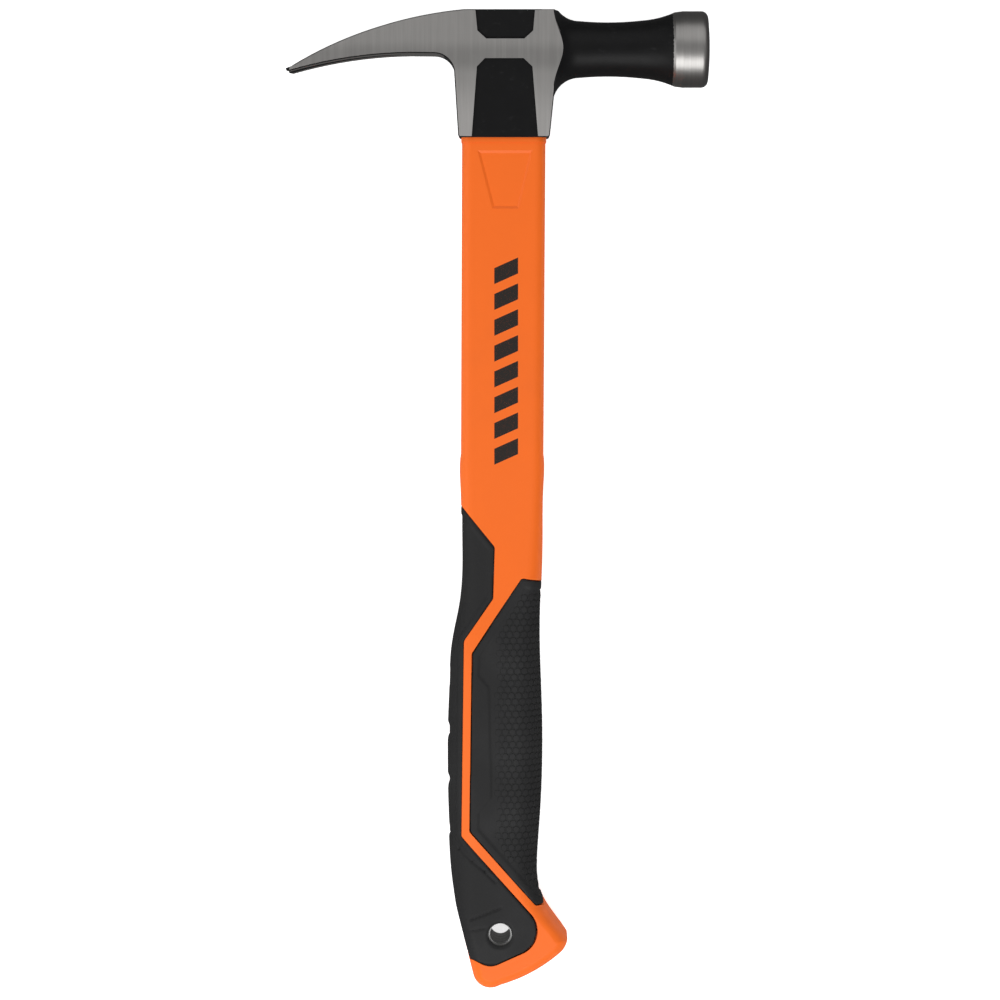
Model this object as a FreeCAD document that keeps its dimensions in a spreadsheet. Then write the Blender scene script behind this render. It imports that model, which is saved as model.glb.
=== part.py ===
import FreeCAD, Part
import math
import os
import Sketcher
from FreeCAD import Placement, Rotation, Vector

# Claw hammer, lying on its side. +Z is up, +X points to the striking face, +Y runs along the handle to the head.
# The origin is on the surface it lies on, under the middle of its bounding box. Millimetres.
# Every body is drawn about the hammer's own mid-plane, and its Placement lifts it by half the thickness.

DIMENSIONS = (
    ("mid_height", 14.8, "height of the mid-plane above the surface, which is the face's radius"),
    ("face_radius", 14.8, "striking face"),
    ("face_end", 82.0, "crown of the striking face"),
    ("band_start", 71.5, "where the cylindrical band behind the face begins"),
    ("crown_rise", 0.6, "height of the face's crown"),
    ("neck_axis", 175.7, "axis of the round neck and face, along the handle"),
    ("neck_radius", 10.5, "thinnest part of the neck"),
    ("flare_radius", 10.3, "fillet between neck and eye block"),
    ("head_top", 190.5, "flat top of the eye block"),
    ("head_foot", 141.4, "lower end of the eye block"),
    ("cheek", 13.3, "half the thickness between the ground cheeks"),
    ("edge_bevel", 0.4, "bevel round the ground cheeks"),
    ("recess_depth", 0.9, "painted recesses in the cheeks"),
    ("claw_tip", -82.0, "tip of the claw"),
    ("slot_root", -39.0, "root of the nail slot"),
    ("slot_root_half", 1.4, "half the slot's width at its root"),
    ("slot_mouth_half", 6.2, "half the slot's width at the tips"),
    ("handle_axis", 1.9, "middle of the handle's neck and of the eye"),
    ("neck_half", 11.0, "half the thickness of the handle's neck"),
    ("grip_half", 14.1, "half the thickness of the grip"),
    ("soft_depth", 2.6, "thickness of the soft grip over the jacket"),
    ("core_wide", 10.2, "half the width of the core"),
    ("core_thick", 6.4, "half the thickness of the core"),
    ("core_low", -156.0, "lower end of the core"),
    ("core_top", 189.3, "upper end of the core"),
    ("resin_top", 189.7, "level of the resin in the eye"),
    ("eye_gap", 1.9, "resin between core and eye at the foot"),
    ("eye_draft", 1.5, "how much wider the eye is at the top, each side"),
    ("hole_side", 0.8, "tether hole, across the handle"),
    ("hole_along", -168.9, "tether hole, along the handle"),
    ("hole_radius", 4.0, "bore of the tether bushing"),
    ("bushing_wall", 1.4, "wall of the tether bushing"),
    ("bushing_half", 11.2, "half the length of the tether bushing"),
    ("opening_radius", 4.6, "opening in the soft grip over the bushing"),
    ("panel_sunk", 0.5, "sunk panel on the handle's neck"),
    ("collar_long", 1.9, "collar of the jacket under the eye block"),
    ("collar_proud", 0.3, "how far the collar stands out"),
    ("ridge_depth", 0.6, "valleys between the finger ridges"),
)

# Cross-sections of the handle: along, claw side, face side, half thickness, corner radius.
# The neck runs straight from the first to the second. The grip is one smooth skin from the second down,
# so its sections stay about evenly spaced.
SECTIONS = (
    ("size.head_foot", -14.0, 18.3, "size.neck_half", 4.0),
    (18.9, -14.5, 17.6, "size.neck_half", 4.2),
    (3.8, -14.6, 17.5, "size.neck_half", 4.3),
    (-11.2, -14.45, 17.35, "size.neck_half + 0.2", 4.8),
    (-26.3, -14.4, 17.1, "size.neck_half + 0.7", 6.0),
    (-41.4, -15.8, 16.5, "size.grip_half - 1.6", 7.5),
    (-56.4, -18.7, 16.45, "size.grip_half - 0.7", 9.4),
    (-71.5, -19.5, 16.95, "size.grip_half - 0.25", 10.6),
    (-86.6, -20.1, 17.4, "size.grip_half", 11.0),
    (-101.7, -20.2, 17.4, "size.grip_half", 11.0),
    (-116.7, -20.0, 16.9, "size.grip_half", 11.0),
    (-131.8, -19.35, 15.9, "size.grip_half - 0.2", 10.8),
    (-144.9, -18.5, 15.35, "size.grip_half - 0.3", 9.6),
    (-156.9, -16.8, 17.6, "size.grip_half - 0.1", 7.2),
    (-168.0, -15.3, 24.8, "size.grip_half + 0.1", 5.4),
    (-179.0, -14.3, 31.0, "size.grip_half + 0.1", 5.2),
    (-192.1, -13.4, 35.0, "size.grip_half + 0.1", 5.2),
    (-205.2, -12.5, 37.0, "size.grip_half + 0.1", 5.2),
)

BLOCK_FRONT = 17.0          # inside the eye block, where the turned neck begins
FLARE_END = 31.5            # where the flare has run out into the neck
EYE_CORNER = 6.0            # corners of the eye's section
CORE_CORNER = 5.0           # corners of the core's section
BEVEL_SHORTEST = 3.0        # outline edges shorter than this keep a plain corner
VALLEY_BEVEL = 1.6          # slope at each end of a valley, along the handle
BUTT_EDGE_RADIUS = 5.5      # rounding round the end of the butt
RIDGE_VALLEYS = ((-68.4, 8.4), (-89.6, 8.4), (-109.1, 6.8), (-128.8, 5.6))     # middle and width, along the handle
PANEL_CLEAR = 0.3           # how far the panel's cutter stands out of the neck
OUTSIDE = 60.0              # well clear of the handle on either side

doc = FreeCAD.newDocument("claw_hammer")
sheet = doc.addObject("Spreadsheet::Sheet", "size")


def fill_sheet():
    """One row per driving dimension: name, value and meaning."""
    for row, (alias, value, meaning) in enumerate(DIMENSIONS, start=1):
        sheet.set(f"A{row}", alias)
        sheet.set(f"B{row}", str(value))
        sheet.set(f"C{row}", meaning)
        sheet.setAlias(f"B{row}", alias)
    doc.recompute()


def number(value):
    """The value of a plain number, or of an expression over the sheet."""
    return float(sheet.evalExpression(value)) if isinstance(value, str) else float(value)


def constrain(sketch, value, *constraint):
    """Add a dimension to a sketch, bound to the sheet when it is given as an expression."""
    index = sketch.addConstraint(Sketcher.Constraint(*constraint, number(value)))
    if isinstance(value, str):
        sketch.setExpression(f"Constraints[{index}]", value)


def fix_point(sketch, geometry, end, x, y):
    constrain(sketch, x, "DistanceX", -1, 1, geometry, end)
    constrain(sketch, y, "DistanceY", -1, 1, geometry, end)


def add_arc(sketch, start, middle, finish):
    """An arc through three points: its index, and which of its ends comes first on the way round."""
    circle = Part.Arc(start, middle, finish).toShape().Curve
    centre = circle.Center
    first = math.atan2(start.y - centre.y, start.x - centre.x)
    last = math.atan2(finish.y - centre.y, finish.x - centre.x)
    turn = (middle - start).cross(finish - middle).z
    if turn < 0:
        first, last = last, first
    circle = Part.Circle(centre, Vector(0, 0, 1), circle.Radius)
    index = sketch.addGeometry(Part.ArcOfCircle(circle, first, last), False)
    return (index, 1, 2) if turn > 0 else (index, 2, 1)


def corner_arc(before, corner, after, radius):
    """Start, middle and end of the arc that rounds a corner."""
    back = (before - corner).normalize()
    ahead = (after - corner).normalize()
    half = back.getAngle(ahead) / 2
    inward = (back + ahead).normalize()
    reach = radius / math.tan(half)
    centre = corner + inward * (radius / math.sin(half))
    return corner + back * reach, centre - inward * radius, corner + ahead * reach


def read_outline(points):
    """Split an outline into corners and, for each bent edge, the point it passes through."""
    corners = []
    vias = {}
    for point in points:
        if point[0] == "via":
            vias[len(corners) - 1] = point[1:]
        else:
            corners.append(point)
    return corners, vias


def outline(sketch, points):
    """Closed outline. A point is (x, y) or (x, y, radius); ("via", x, y) bends the edge there into an arc."""
    corners, vias = read_outline(points)
    count = len(corners)
    places = [Vector(number(corner[0]), number(corner[1]), 0) for corner in corners]
    rounds = {
        i: corner_arc(places[i - 1], places[i], places[(i + 1) % count], number(corner[2]))
        for i, corner in enumerate(corners) if len(corner) == 3
    }
    chain = []
    edges = []
    for i in range(count):
        following = (i + 1) % count
        if i in rounds:
            piece = add_arc(sketch, *rounds[i])
            constrain(sketch, corners[i][2], "Radius", piece[0])
            chain.append((piece, True))
        start = rounds[i][2] if i in rounds else places[i]
        finish = rounds[following][0] if following in rounds else places[following]
        if i in vias:
            middle = Vector(number(vias[i][0]), number(vias[i][1]), 0)
            piece = add_arc(sketch, start, middle, finish)
            on_edges(sketch, vias[i], middle, [piece])
        else:
            piece = (sketch.addGeometry(Part.LineSegment(start, finish), False), 1, 2)
        chain.append((piece, False))
        edges.append(piece)
    for (piece, rounded), (following, next_rounded) in zip(chain, chain[1:] + chain[:1]):
        kind = "Tangent" if rounded or next_rounded else "Coincident"
        sketch.addConstraint(Sketcher.Constraint(kind, piece[0], piece[2], following[0], following[1]))
    for i, corner in enumerate(corners):
        if i in rounds:
            on_edges(sketch, corner, places[i], [edges[i - 1], edges[i]])
        else:
            fix_point(sketch, edges[i][0], edges[i][1], corner[0], corner[1])


def on_edges(sketch, point, place, edges):
    """A construction point, fixed in place, that each of these edges runs through."""
    marker = sketch.addGeometry(Part.Point(place), True)
    fix_point(sketch, marker, 1, point[0], point[1])
    for edge in edges:
        sketch.addConstraint(Sketcher.Constraint("PointOnObject", marker, 1, edge[0]))


def new_body(name):
    """An empty body about the mid-plane, lifted so that the hammer lies on the surface."""
    body = doc.addObject("PartDesign::Body", name)
    body.Label = name
    body.setExpression("Placement.Base.z", "size.mid_height")
    return body


def new_sketch(body, name, role, offset=0, rise=0):
    """A sketch on one of the body's own planes, moved along that plane's normal and up the sketch."""
    sketch = body.newObject("Sketcher::SketchObject", name)
    plane = next(item for item in body.Origin.OriginFeatures if item.Role == role)
    sketch.AttachmentSupport = (plane, [""])
    sketch.MapMode = "FlatFace"
    sketch.AttachmentOffset = Placement(Vector(0, number(rise), number(offset)), Rotation())
    for value, axis in ((rise, "y"), (offset, "z")):
        if isinstance(value, str):
            sketch.setExpression(f"AttachmentOffset.Base.{axis}", value)
    return sketch


def pad_both_ways(body, name, points, half):
    """An outline seen from above, padded equally up and down."""
    sketch = new_sketch(body, name + "_outline", "XY_Plane")
    outline(sketch, points)
    pad = body.newObject("PartDesign::Pad", name)
    pad.Profile = sketch
    pad.SideType = "Symmetric"
    pad.setExpression("Length", f"2 * ({half})")
    doc.recompute()
    return pad


def level_edges(shape, height, shortest=0.0):
    """Names of the edges that lie flat at this height above or below the mid-plane, less the short ones."""
    names = []
    for index, edge in enumerate(shape.Edges, start=1):
        box = edge.BoundBox
        if box.ZLength < 1e-4 and abs(abs(box.ZMin) - height) < 1e-3 and edge.Length > shortest:
            names.append(f"Edge{index}")
    return names


def dress(body, kind, name, base, edges, size):
    """A fillet or chamfer on named edges of a feature."""
    feature = body.newObject("PartDesign::" + kind, name)
    feature.Base = (base, edges)
    measure = "Radius" if kind == "Fillet" else "Size"
    setattr(feature, measure, number(size))
    if isinstance(size, str):
        feature.setExpression(measure, size)
    doc.recompute()


def rounded_section(body, name, along, left, right, half, radius):
    """A rounded rectangle across the handle, at a place along it. All may be expressions."""
    sketch = new_sketch(body, name, "XZ_Plane", f"-({along})")
    outline(sketch, (
        (left, f"-({half})", radius),
        (right, f"-({half})", radius),
        (right, half, radius),
        (left, half, radius),
    ))
    return sketch


def loft(body, name, sketches):
    feature = body.newObject("PartDesign::AdditiveLoft", name)
    feature.Profile = sketches[0]
    feature.Sections = sketches[1:]
    doc.recompute()
    return feature


def boolean(kind, name, base, tool):
    """A Part::Cut or Part::Common of two objects."""
    feature = doc.addObject("Part::" + kind, name)
    feature.Base = base
    feature.Tool = tool
    feature.Label = name
    doc.recompute()
    return feature


def eye_solid():
    """The tapered eye through the head, wider at the top so that the resin plug cannot pull out."""
    body = new_body("eye")
    sections = []
    for name, along, extra in (("eye_foot", "size.head_foot", 0), ("eye_top", "size.head_top", "size.eye_draft")):
        wide = f"size.core_wide + size.eye_gap + {extra}"
        thick = f"size.core_thick + size.eye_gap + {extra}"
        left = f"size.handle_axis - ({wide})"
        right = f"size.handle_axis + {wide}"
        sections.append(rounded_section(body, name, along, left, right, thick, EYE_CORNER))
    loft(body, "eye_taper", sections)
    return body


def head_block(body):
    """Eye block and claw, one outline seen from the side, bevelled round both ground cheeks."""
    block = pad_both_ways(body, "block_and_claw", (
        (-13.0, "size.head_top"),
        ("via", -30.0, 188.0),
        (-46.0, 183.85),
        ("via", -63.3, 177.35),
        (-79.9, 168.6),
        ("size.claw_tip", 167.9),
        ("size.claw_tip + 0.3", 167.1),
        (-80.4, 166.9),
        ("via", -58.0, 171.8),
        (-34.0, 173.75),
        (-17.4, 173.6, 8.0),
        (-15.4, "size.head_foot", 1.0),
        (19.9, "size.head_foot", 1.0),
        (21.8, 160.0),
        (21.8, "size.head_top"),
    ), "size.cheek")
    edges = level_edges(block.Shape, number("size.cheek"), BEVEL_SHORTEST)
    dress(body, "Chamfer", "cheek_bevels", block, edges, "size.edge_bevel")


def head_neck(body):
    """Neck, bell and striking face turned about one axis, with the flare that runs into the eye block."""
    sketch = new_sketch(body, "neck_profile", "XY_Plane", 0, "size.neck_axis")
    foot = "size.neck_radius + 0.5"
    outline(sketch, (
        (BLOCK_FRONT, 0),
        ("size.face_end", 0),
        ("via", "size.face_end - size.crown_rise / 4", "size.face_radius * 0.42"),
        ("size.face_end - size.crown_rise", "size.face_radius - 2.6"),
        ("via", "size.face_end - size.crown_rise - 0.75", "size.face_radius - 0.75"),
        ("size.face_end - 3.0", "size.face_radius"),
        ("size.band_start", "size.face_radius"),
        ("size.band_start - 3.0", "size.face_radius - 0.4"),
        ("via", 63.4, "size.neck_radius + 2.05"),
        (56.0, "size.neck_radius + 0.75"),
        ("via", 44.0, "size.neck_radius"),
        (FLARE_END, foot),
        ("via", f"{FLARE_END} - size.flare_radius * 0.7071", f"{foot} + size.flare_radius * 0.2929"),
        (f"{FLARE_END} - size.flare_radius", f"{foot} + size.flare_radius"),
        (BLOCK_FRONT, f"{foot} + size.flare_radius"),
    ))
    turned = body.newObject("PartDesign::Revolution", "neck_and_face")
    turned.Profile = sketch
    turned.ReferenceAxis = (sketch, ["H_Axis"])
    turned.Angle = 360
    doc.recompute()


def trim(body, name, role, offset, points, depth, reverse=False):
    """Cut an outline away from a plane. It must take something off, or the direction is wrong."""
    before = body.Shape.Volume
    sketch = new_sketch(body, name + "_outline", role, offset)
    outline(sketch, points)
    pocket = body.newObject("PartDesign::Pocket", name)
    pocket.Profile = sketch
    pocket.Reversed = reverse
    if depth is None:
        pocket.Type = "ThroughAll"
        pocket.SideType = "Symmetric"
    else:
        pocket.setExpression("Length", depth)
    doc.recompute()
    if body.Shape.Volume > before - 1.0:
        raise RuntimeError(f"{name} cuts nothing")


def head_cuts(body):
    """Grind the flare flush with the cheeks and the top, then sink the recesses and split the claw."""
    far = 200.0
    trim(body, "flat_top", "XY_Plane", 0, (
        (BLOCK_FRONT - 2, "size.head_top"),
        (FLARE_END, "size.head_top"),
        (FLARE_END, far),
        (BLOCK_FRONT - 2, far),
    ), None)
    for side, word in ((1, "near"), (-1, "far")):
        cheek = f"{side} * size.cheek"
        trim(body, word + "_flat", "XY_Plane", cheek, (
            (BLOCK_FRONT - 2, 150.0),
            (FLARE_END, 150.0),
            (FLARE_END, far),
            (BLOCK_FRONT - 2, far),
        ), "size.flare_radius + 2", side > 0)
        trim(body, word + "_upper_recess", "XY_Plane", cheek, (
            (-8.9, "size.head_top + 1"),
            (-8.0, 182.3),
            (-4.6, 179.2),
            (10.1, 179.2),
            (13.5, 182.3),
            (14.3, "size.head_top + 1"),
        ), "size.recess_depth", side < 0)
        trim(body, word + "_lower_recess", "XY_Plane", cheek, (
            (-10.3, "size.head_foot - 1"),
            (-8.2, 168.5),
            (-5.1, 171.7),
            (9.8, 171.7),
            (13.2, 168.5),
            (15.5, "size.head_foot - 1"),
        ), "size.recess_depth", side < 0)
        trim(body, word + "_tip_corner", "XZ_Plane", 0, (
            ("size.claw_tip - 2", f"{side} * (size.cheek - 3.6)"),
            ("size.claw_tip + 3.6", f"{side} * (size.cheek + 2)"),
            ("size.claw_tip - 2", f"{side} * (size.cheek + 2)"),
        ), None)
    mouth = "size.claw_tip - 4"
    trim(body, "nail_slot", "XZ_Plane", 0, (
        (mouth, "-size.slot_mouth_half"),
        ("size.slot_root", "-size.slot_root_half"),
        ("via", "size.slot_root + size.slot_root_half", 0),
        ("size.slot_root", "size.slot_root_half"),
        (mouth, "size.slot_mouth_half"),
    ), None)


def make_head(eye):
    """One forging: eye block, split claw, neck and striking face."""
    body = new_body("forging")
    head_block(body)
    head_neck(body)
    head_cuts(body)
    return boolean("Cut", "head", body, eye)


def make_core():
    """The rod of glass fibre in resin that carries the load from the head to the butt."""
    body = new_body("fiberglass_core")
    sections = [
        rounded_section(body, name, along, "size.handle_axis - size.core_wide", "size.handle_axis + size.core_wide",
                        "size.core_thick", CORE_CORNER)
        for name, along in (("core_foot", "size.core_low"), ("core_end", "size.core_top"))
    ]
    loft(body, "core_rod", sections)
    return body


def make_epoxy(eye, core):
    """The resin cast round the core in the eye, a little below the head's flat top."""
    level = new_body("resin_level")
    pad_both_ways(level, "below_resin_top", (
        (-OUTSIDE, 120.0),
        (OUTSIDE, 120.0),
        (OUTSIDE, "size.resin_top"),
        (-OUTSIDE, "size.resin_top"),
    ), "size.cheek")
    plug = boolean("Common", "resin_plug", eye, level)
    return boolean("Cut", "eye_epoxy", plug, core)


def handle_loft(name, inset):
    """The handle's rounded body, or the same surface a given depth inside it."""
    body = new_body(name)
    sketches = []
    for index, (along, left, right, half, radius) in enumerate(SECTIONS):
        sketches.append(rounded_section(
            body, f"{name}_{index:02d}", along, f"{left} + {inset}", f"{right} - {inset}", f"{half} - {inset}",
            f"{radius} - {inset} / 2"))
    loft(body, name + "_neck", sketches[:2])
    loft(body, name + "_grip", sketches[1:])
    return body


def butt_bound():
    """A block that bounds the handle below, with the butt's curved and rounded end."""
    body = new_body("butt_bound")
    block = pad_both_ways(body, "butt_outline", (
        (-19.3, -147.0),
        (-9.75, -185.3),
        ("via", -3.0, -190.5),
        (0.6, -189.5),
        ("via", 13.5, -184.2),
        (24.0, -176.9),
        ("via", 26.5, -173.6),
        (27.2, -170.0),
        (27.2, -140.0),
        (OUTSIDE, -130.0),
        (OUTSIDE, 160.0),
        (-OUTSIDE, 160.0),
        (-OUTSIDE, -130.0),
    ), "size.grip_half + 0.35")
    edges = [
        name for name in level_edges(block.Shape, number("size.grip_half + 0.35"))
        if block.Shape.getElement(name).BoundBox.YMax < -139.0
    ]
    dress(body, "Fillet", "butt_rounding", block, edges, BUTT_EDGE_RADIUS)
    return body


def grip_zone(name, points, inner):
    """The space of one soft grip: its outline right through the handle, less the jacket inside it."""
    body = new_body(name + "_outline")
    pad_both_ways(body, name + "_block", points, "size.mid_height + 3")
    return boolean("Cut", name + "_space", body, inner)


def claw_side_zone(inner):
    return grip_zone("claw_zone", (
        (-28.0, 15.5),
        (-1.3, -17.3, 2.0),
        (-1.9, -37.4, 2.5),
        (-13.3, -53.9, 3.0),
        (-14.3, -130.3, 1.5),
        (12.3, -160.0),
        ("via", 15.4, -167.8),
        (10.3, -175.9),
        (-0.6, -180.8),
        ("via", -3.4, -181.2),
        (-6.3, -180.4),
        (-9.6, -178.9),
        (-28.0, -178.9),
    ), inner)


def face_side_zone(inner):
    return grip_zone("face_zone", (
        (40.0, -34.2),
        (9.1, -29.4, 1.5),
        (-2.2, -46.2),
        (-10.35, -58.7, 2.0),
        (-11.3, -128.4, 2.0),
        (5.1, -146.9),
        (14.6, -157.6, 1.5),
        (40.0, -158.9),
    ), inner)


def hole_cylinder(name, radius, half):
    """A round tool or sleeve on the tether hole's axis."""
    cylinder = doc.addObject("Part::Cylinder", name)
    cylinder.setExpression("Radius", radius)
    cylinder.setExpression("Height", f"2 * ({half})")
    cylinder.setExpression("Placement.Base.x", "size.hole_side")
    cylinder.setExpression("Placement.Base.y", "size.hole_along")
    cylinder.setExpression("Placement.Base.z", f"size.mid_height - ({half})")
    doc.recompute()
    return cylinder


def ridge_valleys():
    """Shallow bevelled valleys between the finger ridges, across the claw edge of the grip."""
    body = new_body("ridge_valleys")
    sketch = new_sketch(body, "valleys_outline", "XY_Plane")
    floor = "-20.1 + size.ridge_depth"
    for middle, width in RIDGE_VALLEYS:
        outline(sketch, (
            (-30.0, middle - width / 2),
            (floor, middle - width / 2 + VALLEY_BEVEL),
            (floor, middle + width / 2 - VALLEY_BEVEL),
            (-30.0, middle + width / 2),
        ))
    pad = body.newObject("PartDesign::Pad", "valleys")
    pad.Profile = sketch
    pad.SideType = "Symmetric"
    pad.Length = OUTSIDE
    doc.recompute()
    return body


def make_grips(envelope, claw_space, face_space):
    """The two soft grips, flush with the jacket's rib."""
    claw_skin = boolean("Common", "claw_skin", envelope, claw_space)
    ridged = boolean("Cut", "ridged_skin", claw_skin, ridge_valleys())
    opening = hole_cylinder("grip_opening", "size.opening_radius", "size.mid_height + 1")
    claw_side = boolean("Cut", "grip_claw_side", ridged, opening)
    face_side = boolean("Common", "grip_face_side", envelope, face_space)
    return claw_side, face_side


def panel_tool(side, word):
    """What is cut away for the sunk panel on one broad side of the handle's neck, with sloped walls."""
    body = new_body(word + "_panel")
    sections = []
    for name, rise, points in (
        ("floor", "-size.panel_sunk", ((-6.8, 135.3), (12.1, 135.3), (7.3, 114.9), (-1.5, 114.9))),
        ("rim", PANEL_CLEAR, ((-8.7, 137.0), (14.1, 137.0), (8.6, 113.3), (-2.8, 113.3))),
    ):
        sketch = new_sketch(body, f"{word}_panel_{name}", "XY_Plane", f"{side} * (size.neck_half + {rise})")
        outline(sketch, points)
        sections.append(sketch)
    loft(body, word + "_panel_slopes", sections)
    return body


def make_collar():
    """The low collar where the jacket meets the eye block."""
    body = new_body("jacket_collar")
    _, left, right, half, radius = SECTIONS[0]
    proud = "size.collar_proud"
    sections = [
        rounded_section(body, name, along, f"{left} - {proud}", f"{right} + {proud}", f"{half} + {proud}", radius)
        for name, along in (("collar_top", "size.head_foot"), ("collar_foot", "size.head_foot - size.collar_long"))
    ]
    loft(body, "collar_ring", sections)
    return body


def make_jacket(envelope, claw_space, face_space, core):
    """The hard shell moulded over the core, with its collar, sunk panels, rib and butt."""
    collared = boolean("Fuse", "collared", envelope, make_collar())
    near_paneled = boolean("Cut", "near_paneled", collared, panel_tool(1, "near"))
    paneled = boolean("Cut", "paneled", near_paneled, panel_tool(-1, "far"))
    without_claw_side = boolean("Cut", "without_claw_side", paneled, claw_space)
    ribbed = boolean("Cut", "ribbed", without_claw_side, face_space)
    hollow = boolean("Cut", "hollow", ribbed, core)
    seat = hole_cylinder("bushing_seat", "size.hole_radius + size.bushing_wall", "size.mid_height")
    return boolean("Cut", "handle_jacket", hollow, seat)


def make_bushing():
    """The sleeve that lines the tether hole."""
    sleeve = hole_cylinder("sleeve", "size.hole_radius + size.bushing_wall", "size.bushing_half")
    bore = hole_cylinder("bore", "size.hole_radius", "size.mid_height")
    return boolean("Cut", "tether_bushing", sleeve, bore)


def check_document():
    for item in doc.Objects:
        if {"Invalid", "Error"} & set(item.State):
            raise RuntimeError(f"{item.Label} did not recompute: {item.State}")


def export(pieces):
    """Write one STEP file per sub-part, each a single valid solid."""
    os.makedirs("parts", exist_ok=True)
    for piece in pieces:
        shape = piece.Shape
        if shape.isNull() or not shape.isValid() or len(shape.Solids) != 1:
            raise RuntimeError(f"{piece.Label}: not one valid solid")
    for piece in pieces:
        piece.Shape.exportStep(f"parts/{piece.Label}.step")
        box = piece.Shape.BoundBox
        print(f"{piece.Label:18s} {piece.Shape.Volume / 1000:8.2f} cm3   "
              f"x {box.XMin:7.2f} {box.XMax:7.2f}   y {box.YMin:7.2f} {box.YMax:7.2f}   z {box.ZMin:6.2f} {box.ZMax:6.2f}")


def main():
    fill_sheet()
    eye = eye_solid()
    core = make_core()
    head = make_head(eye)
    epoxy = make_epoxy(eye, core)
    envelope = boolean("Common", "handle_envelope", handle_loft("outer", "0"), butt_bound())
    inner = handle_loft("inner", "size.soft_depth")
    claw_space = claw_side_zone(inner)
    face_space = face_side_zone(inner)
    claw_grip, face_grip = make_grips(envelope, claw_space, face_space)
    jacket = make_jacket(envelope, claw_space, face_space, core)
    bushing = make_bushing()
    check_document()
    export((head, core, epoxy, jacket, claw_grip, face_grip, bushing))


main()
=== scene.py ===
import math

import bpy
import numpy as np
from bpy.props import FloatProperty, FloatVectorProperty, PointerProperty
from bpy.types import Operator, Panel, PropertyGroup
from mathutils import Matrix, Vector
from mathutils.bvhtree import BVHTree


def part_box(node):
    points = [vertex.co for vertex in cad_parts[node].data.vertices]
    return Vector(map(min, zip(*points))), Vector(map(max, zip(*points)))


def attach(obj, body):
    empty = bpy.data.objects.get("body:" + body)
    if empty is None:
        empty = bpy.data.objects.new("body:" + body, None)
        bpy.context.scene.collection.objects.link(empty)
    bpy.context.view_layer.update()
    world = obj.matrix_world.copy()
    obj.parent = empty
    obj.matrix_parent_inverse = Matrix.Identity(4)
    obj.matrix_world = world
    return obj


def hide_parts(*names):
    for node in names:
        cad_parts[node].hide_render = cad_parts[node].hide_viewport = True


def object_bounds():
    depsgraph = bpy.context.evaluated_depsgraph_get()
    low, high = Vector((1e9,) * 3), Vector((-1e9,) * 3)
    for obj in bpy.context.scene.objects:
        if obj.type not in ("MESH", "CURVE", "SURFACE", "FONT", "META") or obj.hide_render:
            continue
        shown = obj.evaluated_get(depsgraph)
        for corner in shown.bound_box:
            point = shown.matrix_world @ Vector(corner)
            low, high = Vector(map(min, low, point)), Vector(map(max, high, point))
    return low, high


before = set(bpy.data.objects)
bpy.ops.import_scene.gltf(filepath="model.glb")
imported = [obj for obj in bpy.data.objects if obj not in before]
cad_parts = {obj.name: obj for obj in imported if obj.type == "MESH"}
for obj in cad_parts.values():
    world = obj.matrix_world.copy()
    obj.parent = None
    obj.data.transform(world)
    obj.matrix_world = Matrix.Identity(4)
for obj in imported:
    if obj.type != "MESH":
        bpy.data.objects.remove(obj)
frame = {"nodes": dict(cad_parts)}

bl_info = {
    "name": "Claw hammer finish",
    "version": (1, 0, 0),
    "blender": (4, 5, 0),
    "location": "3D View > Sidebar > Hammer",
    "description": "Moulded grips, forged and painted steel and a small studio for a straight-claw hammer",
    "category": "Object",
}

CAD_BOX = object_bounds()
MM = 0.001
HEAD_LOW, HEAD_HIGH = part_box("head")
MIDDLE = (HEAD_LOW.z + HEAD_HIGH.z) / 2      # the hammer's own mid-plane
BUSHING_LOW, BUSHING_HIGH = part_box("tether_bushing")
HOLE = ((BUSHING_LOW + BUSHING_HIGH) / 2) / MM      # the tether hole's axis, in millimetres
CHEEK = 0.0133                               # from the mid-plane to a ground cheek
GRINDING = 0.0005                            # how far down its rounded edge a cheek is ground bright
BAND_START = 0.0683                          # where the turned band behind the face begins, across
WHITE = (1.0, 1.0, 1.0, 1.0)

# Outlines on the handle, in millimetres across (x) and along (y) it.
# They run off the side that has no border.
CLAW_SIDE_PAD = (
    (-28.0, 15.5), (-1.3, -17.3), (-1.9, -37.4), (-13.3, -53.9), (-14.3, -130.3), (12.3, -160.0),
    (14.6, -163.2), (15.4, -167.8), (14.0, -172.6), (10.3, -175.9), (-0.6, -180.8), (-6.3, -180.4),
    (-28.0, -174.6),
)
FACE_SIDE_PAD = (
    (40.0, -34.2), (9.1, -29.4), (-2.2, -46.2), (-10.35, -58.7), (-11.3, -128.4), (5.1, -146.9),
    (14.6, -157.6), (40.0, -158.9),
)
TEXTURED_ZONE = (
    (40.0, -37.3), (10.4, -32.7), (-1.0, -49.5), (-7.6, -59.7), (-7.9, -67.2), (-3.9, -72.2),
    (-2.9, -114.9), (-7.9, -120.9), (-8.2, -127.4), (6.9, -144.6), (15.6, -154.8), (40.0, -156.2),
)
FINGER_CREASE = (
    (-26.0, -124.5), (-19.6, -130.5), (-15.6, -135.4), (-10.2, -140.0), (-5.1, -144.0), (-1.0, -148.2),
)
FINGER_VALLEYS = ((-68.4, 8.4), (-89.6, 8.4), (-109.1, 6.8), (-128.8, 5.6))      # middle and width
VALLEY_SLOPE = 1.3          # width of the slope on each side of a valley
VALLEY_SLANT = 0.12         # how far the valleys climb for each millimetre across
CREASE_DEPTH = 0.45
BUTT_GROOVES = (            # one end, the other end and the depth
    ((-10.6, -162.8), (0.9, -158.2), 0.55),
    ((-13.2, -167.6), (-5.0, -166.0), 0.30),
)
RIM_RADIUS = 4.6            # opening of the grip over the sleeve
RIM_WIDTH = 1.3
EDGE_DROP = 0.6             # how far a rounded edge falls away

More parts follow.
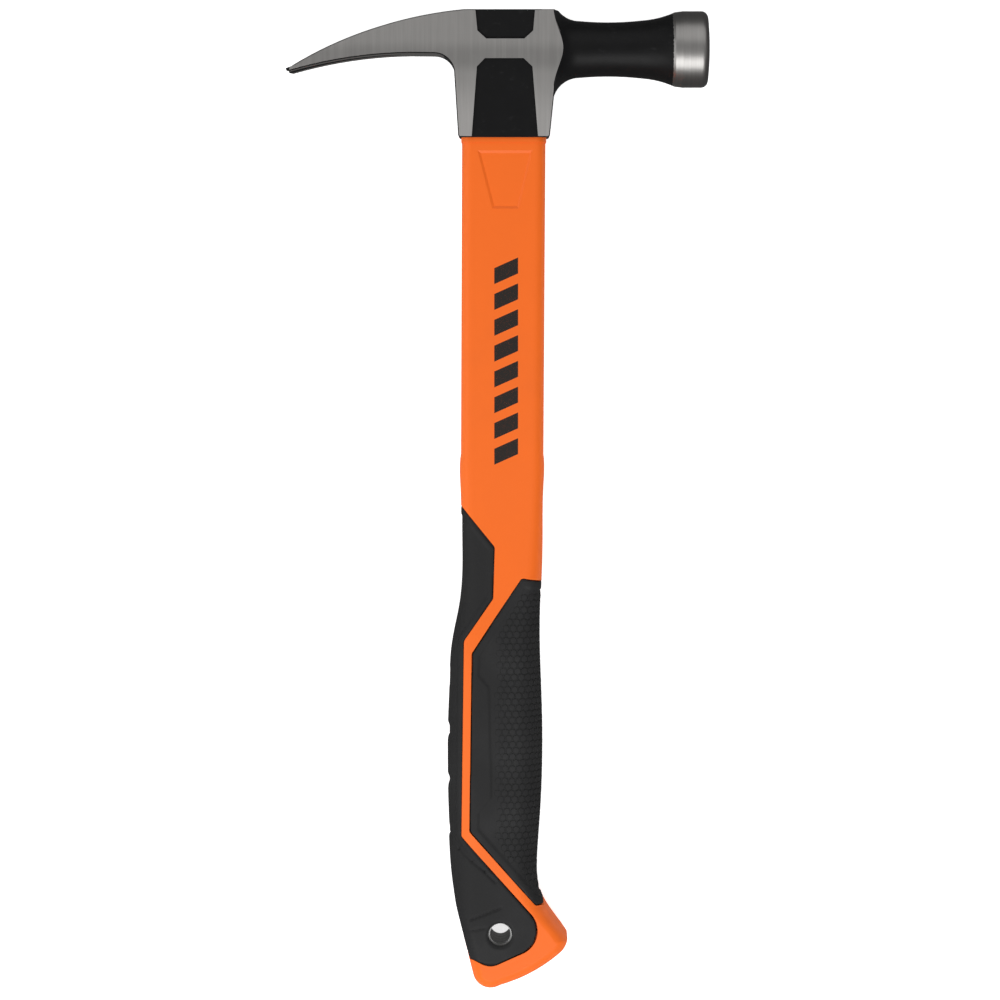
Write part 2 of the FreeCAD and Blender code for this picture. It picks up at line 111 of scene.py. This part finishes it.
# The rows of hexagons, in metres: where the first lies along the handle and how far they reach.
FIRST_ROW = -0.0345
ROWS_LENGTH = 0.122
HEX_MARGIN = 0.62           # nearest to the zone's edge, in pitches
SMOOTH_BELOW = math.radians(38)


class GripSizes(PropertyGroup):
    """Sizes of the moulded relief on the soft grips, in millimetres."""
    voxel: FloatProperty(name="Mesh size", description="Edge length of the grips' mesh",
                         default=0.55, min=0.3)
    border: FloatProperty(name="Border", description="Smooth border along the rib", default=2.1)
    step: FloatProperty(name="Step", description="Drop from the border to the zone inside it",
                        default=0.38)
    valley: FloatProperty(name="Valley", description="Depth between two finger ridges", default=0.12)
    edge_round: FloatProperty(name="Edge", description="Rounding where rubber meets the shell",
                              default=0.85)
    hex_pitch: FloatProperty(name="Pitch", description="From one hexagon to the next", default=2.75)
    hex_gap: FloatProperty(name="Gap", description="Groove between two hexagons", default=0.34)
    hex_height: FloatProperty(name="Height", description="Height of a hexagon", default=0.20)


class HammerColours(PropertyGroup):
    """Base colours, linear."""
    shell: FloatVectorProperty(name="Shell", description="Moulded handle", subtype="COLOR",
                               default=(0.90, 0.150, 0.010))
    rubber: FloatVectorProperty(name="Rubber", description="Soft grips", subtype="COLOR",
                                default=(0.0195, 0.0195, 0.0200))
    paint: FloatVectorProperty(name="Paint", description="Paint on the forging", subtype="COLOR",
                               default=(0.0054, 0.0054, 0.0057))
    steel: FloatVectorProperty(name="Steel", description="Ground steel", subtype="COLOR",
                               default=(0.414, 0.403, 0.391))
    floor: FloatVectorProperty(name="Floor", description="Floor under the hammer", subtype="COLOR",
                               default=(0.86, 0.86, 0.86))


class StudioSizes(PropertyGroup):
    """Where the camera stands and how strong the lamps and the room are."""
    distance: FloatProperty(name="Distance", description="Camera to the mid-plane",
                            default=1.385, unit="LENGTH")
    across: FloatProperty(name="Across", description="Camera towards the striking face",
                          default=0.004, unit="LENGTH")
    along: FloatProperty(name="Along", description="Camera towards the head",
                         default=0.097, unit="LENGTH")
    aim_across: FloatProperty(name="Aim across", description="Point the camera looks at, across",
                              default=0.00068, unit="LENGTH")
    aim: FloatProperty(name="Aim", description="Point the camera looks at, along the handle",
                       default=0.0218, unit="LENGTH")
    frame: FloatProperty(name="Frame", description="Width seen at the mid-plane",
                         default=0.391, unit="LENGTH")
    key_power: FloatProperty(name="Key", description="Power of the main soft box",
                             default=14.5, unit="POWER")
    fill_power: FloatProperty(name="Fill", description="Power of the side soft box",
                              default=4.0, unit="POWER")
    back_power: FloatProperty(name="Back", description="Power of the soft box past the head",
                              default=4.0, unit="POWER")
    horizon: FloatProperty(name="Horizon", description="Brightness of the room at its horizon",
                           default=0.13)
    overhead: FloatProperty(name="Overhead", description="Brightness of the room overhead",
                            default=0.55)
    backdrop: FloatProperty(name="Backdrop", description="Brightness of the room as the camera sees it",
                            default=0.95)


# ---- shader expressions --------------------------------------------------------------------------

class Term:
    """A shader socket that takes part in Python arithmetic; each operation adds its Math node."""

    def __init__(self, shader, socket):
        self.shader = shader
        self.socket = socket

    def maths(self, operation, *others):
        return self.shader.node("ShaderNodeMath", {"operation": operation}, [self, *others])

    def __add__(self, other):
        return self.maths("ADD", other)

    __radd__ = __add__

    def __mul__(self, other):
        return self.maths("MULTIPLY", other)

    __rmul__ = __mul__

    def __sub__(self, other):
        return self.maths("SUBTRACT", other)

    def __rsub__(self, other):
        return self.shader.node("ShaderNodeMath", {"operation": "SUBTRACT"}, [other, self])

    def __truediv__(self, other):
        return self.maths("DIVIDE", other)

    def __abs__(self):
        return self.maths("ABSOLUTE")

    def __gt__(self, other):
        return self.maths("GREATER_THAN", other)

    def __lt__(self, other):
        return self.maths("LESS_THAN", other)

    def fraction(self):
        return self.maths("FRACT")

    def highest(self, other):
        return self.maths("MAXIMUM", other)

    def rise(self, low, high):
        """0 below low and 1 above high, smooth between."""
        settings = {"interpolation_type": "SMOOTHSTEP"}
        return self.shader.node("ShaderNodeMapRange", settings, [self, low, high])


class Shader:
    """One material: its nodes are made by type and joined by expressions."""

    def __init__(self, name):
        self.material = bpy.data.materials.new(name)
        self.material.use_nodes = True
        self.tree = self.material.node_tree
        self.tree.nodes.clear()
        self.place = self.node("ShaderNodeTexCoord", output="Object")
        split = self.node("ShaderNodeSeparateXYZ", inputs=[self.place]).socket.node
        self.x, self.y, self.z = (Term(self, socket) for socket in split.outputs)

    def node(self, kind, settings=None, inputs=(), output=0):
        """Any node: its type, settings, inputs in order or by name, and the output to go on with."""
        made = self.tree.nodes.new(kind)
        for name, value in (settings or {}).items():
            setattr(made, name, value)
        pairs = inputs.items() if isinstance(inputs, dict) else enumerate(inputs)
        for key, value in pairs:
            if isinstance(value, Term):
                self.tree.links.new(value.socket, made.inputs[key])
            else:
                made.inputs[key].default_value = value
        return Term(self, made.outputs[output])

    def stretched(self, x, y, z):
        """Object coordinates scaled along each axis."""
        return self.node("ShaderNodeVectorMath", {"operation": "MULTIPLY"}, [self.place, (x, y, z)])

    def noise(self, scale, detail=3.0, place=None, roughness=0.55):
        inputs = {"Vector": place or self.place, "Scale": scale, "Detail": detail, "Roughness": roughness}
        return self.node("ShaderNodeTexNoise", {}, inputs)

    def blend(self, factor, first, second, kind="MIX"):
        """Mix two colours."""
        mixed = self.tree.nodes.new("ShaderNodeMix")
        mixed.data_type = "RGBA"
        mixed.blend_type = kind
        sockets = (mixed.inputs[0], mixed.inputs[6], mixed.inputs[7])
        for socket, value in zip(sockets, (factor, first, second)):
            if isinstance(value, Term):
                self.tree.links.new(value.socket, socket)
            else:
                socket.default_value = value if isinstance(value, float) else (*value[:3], 1.0)
        return Term(self, mixed.outputs[2])

    def shaded(self, colour, amount):
        """A colour made lighter or darker by a varying amount around 1."""
        grey = self.node("ShaderNodeCombineColor", {}, [amount, amount, amount])
        return self.blend(1.0, colour, grey, "MULTIPLY")

    def bump(self, height, distance, strength=1.0):
        """Relief from a height in units of the distance, which is in metres."""
        inputs = {"Height": height, "Distance": distance, "Strength": strength}
        return self.node("ShaderNodeBump", {}, inputs)

    def finish(self, **inputs):
        """Close the material with one Principled shader; underscores in the names stand for spaces."""
        named = {name.replace("_", " "): value for name, value in inputs.items()}
        surface = self.node("ShaderNodeBsdfPrincipled", {}, named)
        out = self.tree.nodes.new("ShaderNodeOutputMaterial")
        self.tree.links.new(surface.socket, out.inputs["Surface"])
        return self.material


def colours():
    return bpy.context.scene.hammer_colours


# ---- materials -----------------------------------------------------------------------------------

def forged_steel():
    """Black paint over the forging, ground bright on the cheeks and turned bright behind the face."""
    shader = Shader("forged_steel")
    normal = shader.node("ShaderNodeNewGeometry", output="Normal")
    facing = shader.node("ShaderNodeSeparateXYZ", {}, [normal], 1)
    height = abs(shader.z - MIDDLE)
    on_cheek = height > CHEEK - 0.00004
    on_edge = (height > CHEEK - GRINDING) * (facing > 0.3)
    flat = on_cheek.highest(on_edge) * (shader.x < 0.030)
    ragged = shader.noise(900, 4) * 0.0011 + shader.noise(4000, 2) * 0.0003
    turned = (shader.x + ragged).rise(BAND_START, BAND_START + 0.0001)
    inner_curve = (facing < -0.6) * (shader.x < -0.021) * (height < 0.0117)
    bright = flat.highest(turned).highest(inner_curve)
    fine = shader.noise(1.0, 3, shader.stretched(5200, 60, 60), 0.7)
    broad = shader.noise(1.0, 3, shader.stretched(760, 16, 16))
    cloud = shader.noise(42, 3)
    # Painted light on the ground face: its lower legs are painted lighter as a painted sheen, and the
    # crossbar between the recesses is painted darker as painted shade.
    legs_painted_sheen = 1 - shader.y.rise(0.148, 0.168)
    crossbar_painted_shade = 1 - (abs(shader.y - 0.1722) / 0.0045).rise(0.3, 1.6)
    grain = fine * 0.22 + broad * 0.30 + cloud * 0.16
    # Besides the real grain and the darker turned band, this sum carries the painted sheen on the legs and
    # the painted shade on the crossbar.
    grain = grain + legs_painted_sheen * flat * 0.30 - crossbar_painted_shade * flat * 0.20 - turned * 0.28 + 0.68
    steel = shader.shaded(colours().steel, grain)
    scuffs = shader.noise(1.0, 5, shader.stretched(260, 420, 260), 0.7).rise(0.57, 0.74)
    coat = shader.shaded(colours().paint, scuffs * 1.3 + shader.noise(130, 4) * 0.5 + 0.75)
    pits = shader.noise(2600, 2) * 0.35 + shader.noise(420, 3) * 0.65
    relief = fine * bright * 0.25 + pits * (1 - bright) * 0.8
    steel_roughness = bright * (fine * 0.10 + 0.31)
    coat_roughness = (1 - bright) * (scuffs * 0.12 + shader.noise(300, 3) * 0.14 + 0.36)
    return shader.finish(
        Base_Color=shader.blend(bright, coat, steel),
        Metallic=bright,
        Roughness=steel_roughness + coat_roughness,
        Specular_IOR_Level=0.14,
        Normal=shader.bump(relief, 0.00006, 0.8),
    )


def moulded_shell():
    """Satin moulded plastic with a fine spark texture, a parting line and a plain printed band of bars."""
    shader = Shader("moulded_shell")
    texture = shader.noise(3600, 3)
    waves = shader.noise(60, 3)
    handling = shader.noise(24, 4).rise(0.55, 0.8)
    parting = 1 - abs(shader.z - MIDDLE).rise(0.00008, 0.00022)
    turn = (shader.y - shader.x * 0.45 - 0.0135) / 0.0100
    bars = (abs(turn.fraction() - 0.5) < 0.31) * (abs(turn - 4) < 4) * (abs(shader.x - 0.0031) < 0.0046)
    ink = bars * (1 - shader.noise(5200, 2).rise(0.66, 0.72) * 0.5)
    colour = shader.shaded(colours().shell, waves * 0.06 + texture * 0.05 - handling * 0.05 + 0.95)
    return shader.finish(
        Base_Color=shader.blend(ink, colour, (0.012, 0.008, 0.006)),
        Roughness=texture * 0.12 + handling * 0.10 + ink * 0.06 + 0.40,
        Specular_IOR_Level=0.30,
        Normal=shader.bump(texture * 0.5 + waves * 0.6 + parting * 1.6, 0.00005, 0.7),
    )


def soft_rubber(name):
    """Matt black moulded rubber with a fine leathery grain, palm polish and dust in small scattered
    patches.
    """
    shader = Shader(name)
    grain = shader.noise(2300, 4, roughness=0.65)
    spacing = {"Vector": shader.place, "Scale": 1500.0}
    cells = shader.node("ShaderNodeTexVoronoi", {"feature": "F1"}, spacing)
    polish = shader.noise(38, 4).rise(0.42, 0.72)
    dust = shader.noise(700, 5, roughness=0.75).rise(0.60, 0.80)
    colour = shader.shaded(colours().rubber, grain * 0.30 + polish * 0.18 + dust * 0.55 + 0.72)
    return shader.finish(
        Base_Color=colour,
        Roughness=grain * 0.16 - polish * 0.10 + dust * 0.08 + 0.58,
        Specular_IOR_Level=0.20,
        Normal=shader.bump(grain * 0.7 + cells * 0.5, 0.00007, 0.75),
    )


def cast_resin():
    """Dark glossy resin, slightly uneven, with small bubbles."""
    shader = Shader("cast_resin")
    bubbles = shader.noise(900, 2).rise(0.66, 0.70)
    flow = shader.noise(120, 3)
    colour = shader.shaded((0.030, 0.026, 0.022), flow * 0.5 + bubbles * 0.6 + 0.7)
    return shader.finish(
        Base_Color=colour,
        Roughness=flow * 0.15 + bubbles * 0.3 + 0.16,
        Normal=shader.bump(flow - bubbles, 0.0001),
    )


def drawn_fibreglass():
    """Pultruded rod: straight glass fibres along it, and their cut ends on its face."""
    shader = Shader("drawn_fibreglass")
    strands = shader.noise(1.0, 4, shader.stretched(2400, 30, 2400), 0.7)
    ends = shader.noise(4200, 2)
    colour = shader.shaded((0.60, 0.52, 0.30), strands * 0.45 + ends * 0.25 + 0.6)
    return shader.finish(
        Base_Color=colour,
        Roughness=strands * 0.2 + 0.35,
        Normal=shader.bump(strands, 0.00005),
    )


def drawn_sleeve():
    """Plain steel sleeve with drawing marks round the bore."""
    shader = Shader("drawn_sleeve")
    rings = shader.noise(1.0, 3, shader.stretched(40, 40, 3200), 0.7)
    smudge = shader.noise(600, 3)
    steps = (shader.z / 0.0052).fraction().rise(0.1, 0.3)
    colour = shader.shaded((0.60, 0.60, 0.59), rings * 0.3 + smudge * 0.25 + steps * 0.35 + 0.3)
    return shader.finish(
        Base_Color=colour,
        Metallic=1.0,
        Roughness=rings * 0.15 + smudge * 0.1 + 0.30,
        Normal=shader.bump(rings * 0.2 + steps, 0.00012),
    )


def studio_floor():
    """Pale, even floor with the faintest mottle."""
    shader = Shader("studio_floor")
    colour = shader.shaded(colours().floor, shader.noise(3, 2) * 0.02 + 0.99)
    return shader.finish(Base_Color=colour, Roughness=0.9, Emission_Color=WHITE, Emission_Strength=0.75)


# ---- shaping helpers -----------------------------------------------------------------------------

def only(piece):
    """Make this the one selected and active object."""
    bpy.ops.object.select_all(action="DESELECT")
    piece.hide_set(False)
    piece.select_set(True)
    bpy.context.view_layer.objects.active = piece


def paint(piece, material):
    piece.data.materials.clear()
    piece.data.materials.append(material)


def apply(piece, kind, **settings):
    """Add a modifier, set it and apply it."""
    modifier = piece.modifiers.new(kind.lower(), kind)
    for name, value in settings.items():
        setattr(modifier, name, value)
    only(piece)
    bpy.ops.object.modifier_apply(modifier=modifier.name)


def copy_of(node, name):
    """A merged copy of a CAD node, free to be shaped as a piece of its own."""
    source = frame["nodes"][node]
    piece = source.copy()
    piece.data = source.data.copy()
    piece.name = name
    piece.parent = None
    for key in list(piece.keys()):
        del piece[key]
    bpy.context.scene.collection.objects.link(piece)
    only(piece)
    bpy.ops.object.mode_set(mode="EDIT")
    bpy.ops.mesh.select_all(action="SELECT")
    bpy.ops.mesh.remove_doubles(threshold=0.000005)
    bpy.ops.object.mode_set(mode="OBJECT")
    return piece


def vertices(piece):
    """Positions and normals of a mesh as arrays."""
    count = len(piece.data.vertices)
    place = np.empty(count * 3)
    normal = np.empty(count * 3)
    piece.data.vertices.foreach_get("co", place)
    piece.data.vertices.foreach_get("normal", normal)
    return place.reshape(-1, 3), normal.reshape(-1, 3)


def rise(value, low, high):
    """Smooth step from 0 at low to 1 at high."""
    t = np.clip((value - low) / (high - low), 0.0, 1.0)
    return t * t * (3.0 - 2.0 * t)


def from_segment(points, start, end):
    """Distance of each point from a straight segment."""
    start, end = np.array(start), np.array(end)
    along = end - start
    t = np.clip((points - start) @ along / (along @ along), 0.0, 1.0)
    return np.linalg.norm(points - start - t[:, None] * along, axis=1)


def depth_inside(points, outline):
    """Distance inside a closed outline, negative outside it."""
    distance = np.full(len(points), np.inf)
    inside = np.zeros(len(points), bool)
    for start, end in zip(outline, outline[1:] + outline[:1]):
        distance = np.minimum(distance, from_segment(points, start, end))
        crosses = (start[1] > points[:, 1]) != (end[1] > points[:, 1])
        rise_over = (end[0] - start[0]) / ((end[1] - start[1]) or 1e-9)
        inside ^= crosses & (points[:, 0] < start[0] + (points[:, 1] - start[1]) * rise_over)
    return np.where(inside, distance, -distance)


def above_line(points, line):
    """How far each point lies above (towards the head from) a line given as points from left to right."""
    xs, ys = zip(*line)
    return points[:, 1] - np.interp(points[:, 0], xs, ys)


def sink(piece, relief):
    """Press a relief, in millimetres as a function of place and normal, into the outer skin."""
    place, normal = vertices(piece)
    spine = np.array([-1.0 * MM, 0.0, MIDDLE])
    outward = (place - spine) * (1, 0, 1)
    outward /= np.linalg.norm(outward, axis=1)[:, None]
    facing = rise((normal * outward).sum(axis=1), 0.15, 0.55)
    depth = relief(place[:, :2] / MM, normal)
    place -= normal * (depth * facing * MM)[:, None]
    piece.data.vertices.foreach_set("co", place.ravel())
    piece.data.update()


# ---- the two soft grips --------------------------------------------------------------------------

def rounded_edge(inside, width):
    """How far the skin falls away within a width of its border."""
    return EDGE_DROP * np.clip(1.0 - inside / width, 0.0, 1.0) ** 2


def claw_side_relief(sizes):
    """Border, finger ridges, crease, butt grooves and the tether opening's rim."""
    def relief(points, normal):
        inside = depth_inside(points, CLAW_SIDE_PAD)
        depth = rounded_edge(inside, sizes.edge_round)
        fingers = rise(inside, sizes.border, sizes.border + 0.45)
        fingers *= rise(above_line(points, FINGER_CREASE), 0.2, 0.8)
        depth += sizes.step * fingers
        for middle, width in FINGER_VALLEYS:
            off = np.abs(points[:, 1] - middle - (points[:, 0] + 18.0) * VALLEY_SLANT)
            depth += sizes.valley * fingers * (1.0 - rise(off, width / 2 - VALLEY_SLOPE, width / 2))
        for start, end in zip(FINGER_CREASE, FINGER_CREASE[1:]):
            depth += CREASE_DEPTH * (1.0 - rise(from_segment(points, start, end), 0.15, 0.7))
        for start, end, deep in BUTT_GROOVES:
            depth += deep * (1.0 - rise(from_segment(points, start, end), 0.15, 0.75))
        from_hole = np.linalg.norm(points - np.array(HOLE[:2]), axis=1)
        broad = rise(np.abs(normal[:, 2]), 0.5, 0.8)
        return depth + broad * rounded_edge(from_hole - RIM_RADIUS, RIM_WIDTH)
    return relief


def face_side_relief(sizes):
    """Smooth border, and the zone inside it sunk to take the hexagons."""
    def relief(points, normal):
        depth = rounded_edge(depth_inside(points, FACE_SIDE_PAD), sizes.edge_round)
        return depth + sizes.step * rise(depth_inside(points, TEXTURED_ZONE), 0.0, 0.55)
    return relief


def hex_boss(sizes):
    """One low hexagon with a bevelled rim, at the origin and pointing up."""
    radius = (sizes.hex_pitch - sizes.hex_gap) / math.sqrt(3) * MM
    bpy.ops.object.select_all(action="DESELECT")
    root = 0.7 * MM
    bpy.ops.mesh.primitive_cylinder_add(vertices=6, radius=radius, depth=root, location=(0, 0, -root / 2))
    boss = bpy.context.object
    boss.name = "hex_boss"
    bpy.ops.object.mode_set(mode="EDIT")
    bpy.ops.mesh.select_all(action="DESELECT")
    bpy.ops.object.mode_set(mode="OBJECT")
    for face in boss.data.polygons:
        face.select = face.normal.z > 0.9
    bpy.ops.object.mode_set(mode="EDIT")
    bpy.ops.mesh.inset(thickness=0.14 * MM, depth=sizes.hex_height * MM)
    bpy.ops.mesh.inset(thickness=0.2 * MM, depth=0.02 * MM)
    bpy.ops.object.mode_set(mode="OBJECT")
    bpy.ops.object.transform_apply(location=True, rotation=True, scale=True)
    return boss


def girth_walk(skin, along):
    """Points and normals round the face side of a section, with the distance walked from its crest."""
    centre = Vector((2.0 * MM, along, MIDDLE))
    found = []
    for degree in range(100, -101, -2):
        angle = math.radians(degree)
        out = Vector((math.cos(angle), 0.0, math.sin(angle)))
        hit, normal, _, _ = skin.ray_cast(centre + out * 0.05, -out)
        if hit is not None:
            found.append((hit, normal))
    walked = [0.0]
    for (first, _), (second, _) in zip(found, found[1:]):
        walked.append(walked[-1] + (second - first).length)
    side = min(range(len(found)), key=lambda i: abs(found[i][0].z - MIDDLE))
    return found, [w - walked[side] for w in walked]


def hex_places(piece, sizes):
    """Where each hexagon sits: rows along the grip, each offset by half a pitch, walked round its girth."""
    piece.data.update()
    mesh = piece.data
    skin = BVHTree.FromPolygons([v.co for v in mesh.vertices], [tuple(p.vertices) for p in mesh.polygons])
    pitch = sizes.hex_pitch * MM
    spacing = pitch * math.sqrt(3) / 2
    places = []
    for row in range(int(ROWS_LENGTH / spacing)):
        along = FIRST_ROW - row * spacing
        found, walked = girth_walk(skin, along)
        for column in range(-14, 15):
            at = (column + (row % 2) / 2) * pitch
            if not walked[0] < at < walked[-1]:
                continue
            i = next(k for k in range(len(walked) - 1) if walked[k + 1] >= at)
            share = (at - walked[i]) / max(walked[i + 1] - walked[i], 1e-9)
            point = found[i][0].lerp(found[i + 1][0], share)
            normal = found[i][1].lerp(found[i + 1][1], share).normalized()
            places.append((point, normal))
    spots = np.array([(p.x, p.y) for p, _ in places]) / MM
    margin = depth_inside(spots, TEXTURED_ZONE)
    return [spot for spot, inside in zip(places, margin) if inside > sizes.hex_pitch * HEX_MARGIN]


def add_hexagons(piece, sizes):
    """Model one hexagon, copy it to every place and join the copies to the grip."""
    boss = hex_boss(sizes)
    copies = []
    for point, normal in hex_places(piece, sizes):
        along = Vector((0.0, 1.0, 0.0))
        across = along.cross(normal).normalized()
        along = normal.cross(across)
        turn = Matrix((across, along, normal)).transposed().to_4x4()
        on_broad_side = normal.z ** 2 > 0.5
        fade = 0.35 + 0.65 * float(rise(point.x / MM, -3.0, 4.0)) if on_broad_side else 1.0
        sunk = point - normal * (1.0 - fade) * sizes.hex_height * MM
        made = boss.copy()
        made.data = boss.data.copy()
        made.matrix_world = Matrix.Translation(sunk) @ turn
        bpy.context.scene.collection.objects.link(made)
        copies.append(made)
    bpy.data.objects.remove(boss)
    only(piece)
    for made in copies:
        made.select_set(True)
    bpy.ops.object.join()
    return len(copies)


def moulded_grip(node, name, relief, sizes):
    """Turn a plain soft solid into an even mesh and press the relief into its skin."""
    piece = copy_of(node, name)
    apply(piece, "REMESH", mode="VOXEL", voxel_size=sizes.voxel * MM, adaptivity=0.0)
    apply(piece, "SMOOTH", factor=0.5, iterations=2)
    sink(piece, relief)
    return piece


def settle(piece, node, material):
    """Finish a new piece: smooth shading, material, and its place in the assembly."""
    only(piece)
    bpy.ops.object.shade_smooth_by_angle(angle=SMOOTH_BELOW)
    paint(piece, material)
    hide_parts(node)
    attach(piece, "root")


# ---- operators -----------------------------------------------------------------------------------

class HAMMER_OT_forging(Operator):
    """Paint and grind the one-piece head"""
    bl_idname = "hammer.forging"
    bl_label = "Finish the forging"

    def execute(self, context):
        paint(frame["nodes"]["head"], forged_steel())
        return {"FINISHED"}


class HAMMER_OT_core(Operator):
    """Finish the core rod and the resin that holds it in the eye"""
    bl_idname = "hammer.core"
    bl_label = "Finish the core and resin"

    def execute(self, context):
        paint(frame["nodes"]["fiberglass_core"], drawn_fibreglass())
        paint(frame["nodes"]["eye_epoxy"], cast_resin())
        return {"FINISHED"}


class HAMMER_OT_shell(Operator):
    """Finish the moulded shell of the handle"""
    bl_idname = "hammer.shell"
    bl_label = "Finish the handle's shell"

    def execute(self, context):
        paint(frame["nodes"]["handle_jacket"], moulded_shell())
        return {"FINISHED"}


class HAMMER_OT_bushing(Operator):
    """Finish the sleeve in the tether hole"""
    bl_idname = "hammer.bushing"
    bl_label = "Finish the tether sleeve"

    def execute(self, context):
        paint(frame["nodes"]["tether_bushing"], drawn_sleeve())
        return {"FINISHED"}


class HAMMER_OT_claw_side_grip(Operator):
    """Mould the grip on the claw side, with its finger ridges"""
    bl_idname = "hammer.claw_side_grip"
    bl_label = "Mould the claw-side grip"

    def execute(self, context):
        sizes = context.scene.hammer_grip
        piece = moulded_grip("grip_claw_side", "ridged_grip", claw_side_relief(sizes), sizes)
        settle(piece, "grip_claw_side", soft_rubber("ridged_rubber"))
        return {"FINISHED"}


class HAMMER_OT_face_side_grip(Operator):
    """Mould the grip on the face side, with its hexagons"""
    bl_idname = "hammer.face_side_grip"
    bl_label = "Mould the face-side grip"

    def execute(self, context):
        sizes = context.scene.hammer_grip
        piece = moulded_grip("grip_face_side", "hexagon_grip", face_side_relief(sizes), sizes)
        if add_hexagons(piece, sizes) == 0:
            raise RuntimeError("no hexagon found its place on the grip")
        settle(piece, "grip_face_side", soft_rubber("hexagon_rubber"))
        return {"FINISHED"}


class HAMMER_OT_studio(Operator):
    """Floor, soft light and camera"""
    bl_idname = "hammer.studio"
    bl_label = "Set up the studio"

    def execute(self, context):
        build_floor()
        build_world(context.scene, context.scene.hammer_studio)
        build_lamps(context.scene.hammer_studio)
        build_camera(context.scene)
        context.scene.view_settings.view_transform = "Standard"
        return {"FINISHED"}


def build_floor():
    bpy.ops.object.select_all(action="DESELECT")
    bpy.ops.mesh.primitive_plane_add(size=8.0, location=(0, 0, CAD_BOX[0][2]))
    floor = bpy.context.object
    floor.name = "studio_floor"
    floor.visible_glossy = False
    paint(floor, studio_floor())


def build_world(scene, studio):
    """A room that is darker near the horizon than overhead, and pale where the camera sees it."""
    world = bpy.data.worlds.new("studio_room")
    scene.world = world
    world.use_nodes = True
    tree = world.node_tree
    tree.nodes.clear()
    place = tree.nodes.new("ShaderNodeTexCoord")
    split = tree.nodes.new("ShaderNodeSeparateXYZ")
    tree.links.new(place.outputs["Generated"], split.inputs[0])
    height = tree.nodes.new("ShaderNodeMapRange")
    height.inputs["From Min"].default_value = 0.0
    height.inputs["From Max"].default_value = 1.0
    height.inputs["To Min"].default_value = studio.horizon
    height.inputs["To Max"].default_value = studio.overhead
    tree.links.new(split.outputs["Z"], height.inputs["Value"])
    seen = tree.nodes.new("ShaderNodeLightPath")
    strength = tree.nodes.new("ShaderNodeMix")
    tree.links.new(seen.outputs["Is Camera Ray"], strength.inputs[0])
    tree.links.new(height.outputs["Result"], strength.inputs[2])
    strength.inputs[3].default_value = studio.backdrop
    background = tree.nodes.new("ShaderNodeBackground")
    tree.links.new(strength.outputs[0], background.inputs["Strength"])
    out = tree.nodes.new("ShaderNodeOutputWorld")
    tree.links.new(background.outputs[0], out.inputs["Surface"])


def soft_box(name, power, place, width, length):
    """A rectangular lamp aimed at the middle of the frame."""
    bpy.ops.object.select_all(action="DESELECT")
    bpy.ops.object.light_add(type="AREA", location=place)
    lamp = bpy.context.object
    lamp.name = name
    lamp.data.shape = "RECTANGLE"
    lamp.data.size = width
    lamp.data.size_y = length
    lamp.data.energy = power
    lamp.rotation_euler = (-Vector(place)).to_track_quat("-Z", "Y").to_euler()


def build_lamps(studio):
    soft_box("key_box", studio.key_power, (-0.10, -0.85, 1.05), 1.5, 0.9)
    soft_box("fill_box", studio.fill_power, (-1.1, 0.1, 0.75), 1.2, 0.5)
    soft_box("back_box", studio.back_power, (0.2, 1.0, 0.75), 1.8, 1.1)


def build_camera(scene):
    """High above the upper handle, tilted and shifted a little so that the whole hammer is in the frame."""
    studio = scene.hammer_studio
    eye = Vector((studio.across, studio.along, MIDDLE + studio.distance))
    aim = Vector((studio.aim_across, studio.aim, MIDDLE))
    nod = math.atan2(aim.y - eye.y, studio.distance)
    turn = math.atan2(eye.x - aim.x, studio.distance)
    bpy.ops.object.camera_add(location=eye, rotation=(nod, turn, 0))
    camera = bpy.context.object
    camera.data.sensor_width = 36.0
    camera.data.lens = camera.data.sensor_width * (aim - eye).length / studio.frame
    camera.data.shift_y = -0.055
    camera.data.clip_end = 20.0
    scene.camera = camera


class HAMMER_PT_panel(Panel):
    """The hammer's steps and sizes"""
    bl_label = "Claw hammer"
    bl_idname = "HAMMER_PT_panel"
    bl_space_type = "VIEW_3D"
    bl_region_type = "UI"
    bl_category = "Hammer"

    def draw(self, context):
        for step in STEPS:
            self.layout.operator(step.bl_idname)
        scene = context.scene
        for group in (scene.hammer_grip, scene.hammer_colours, scene.hammer_studio):
            for name in group.__annotations__:
                self.layout.prop(group, name)


STEPS = (
    HAMMER_OT_forging,
    HAMMER_OT_core,
    HAMMER_OT_shell,
    HAMMER_OT_bushing,
    HAMMER_OT_claw_side_grip,
    HAMMER_OT_face_side_grip,
    HAMMER_OT_studio,
)
GROUPS = (GripSizes, HammerColours, StudioSizes)


def register():
    for item in (*GROUPS, *STEPS, HAMMER_PT_panel):
        bpy.utils.register_class(item)
    bpy.types.Scene.hammer_grip = PointerProperty(type=GripSizes)
    bpy.types.Scene.hammer_colours = PointerProperty(type=HammerColours)
    bpy.types.Scene.hammer_studio = PointerProperty(type=StudioSizes)


def unregister():
    del bpy.types.Scene.hammer_studio
    del bpy.types.Scene.hammer_colours
    del bpy.types.Scene.hammer_grip
    for item in reversed((*GROUPS, *STEPS, HAMMER_PT_panel)):
        bpy.utils.unregister_class(item)


def main():
    register()
    for step in STEPS:
        group, name = step.bl_idname.split(".")
        getattr(getattr(bpy.ops, group), name)()


if __name__ == "__main__":
    main()
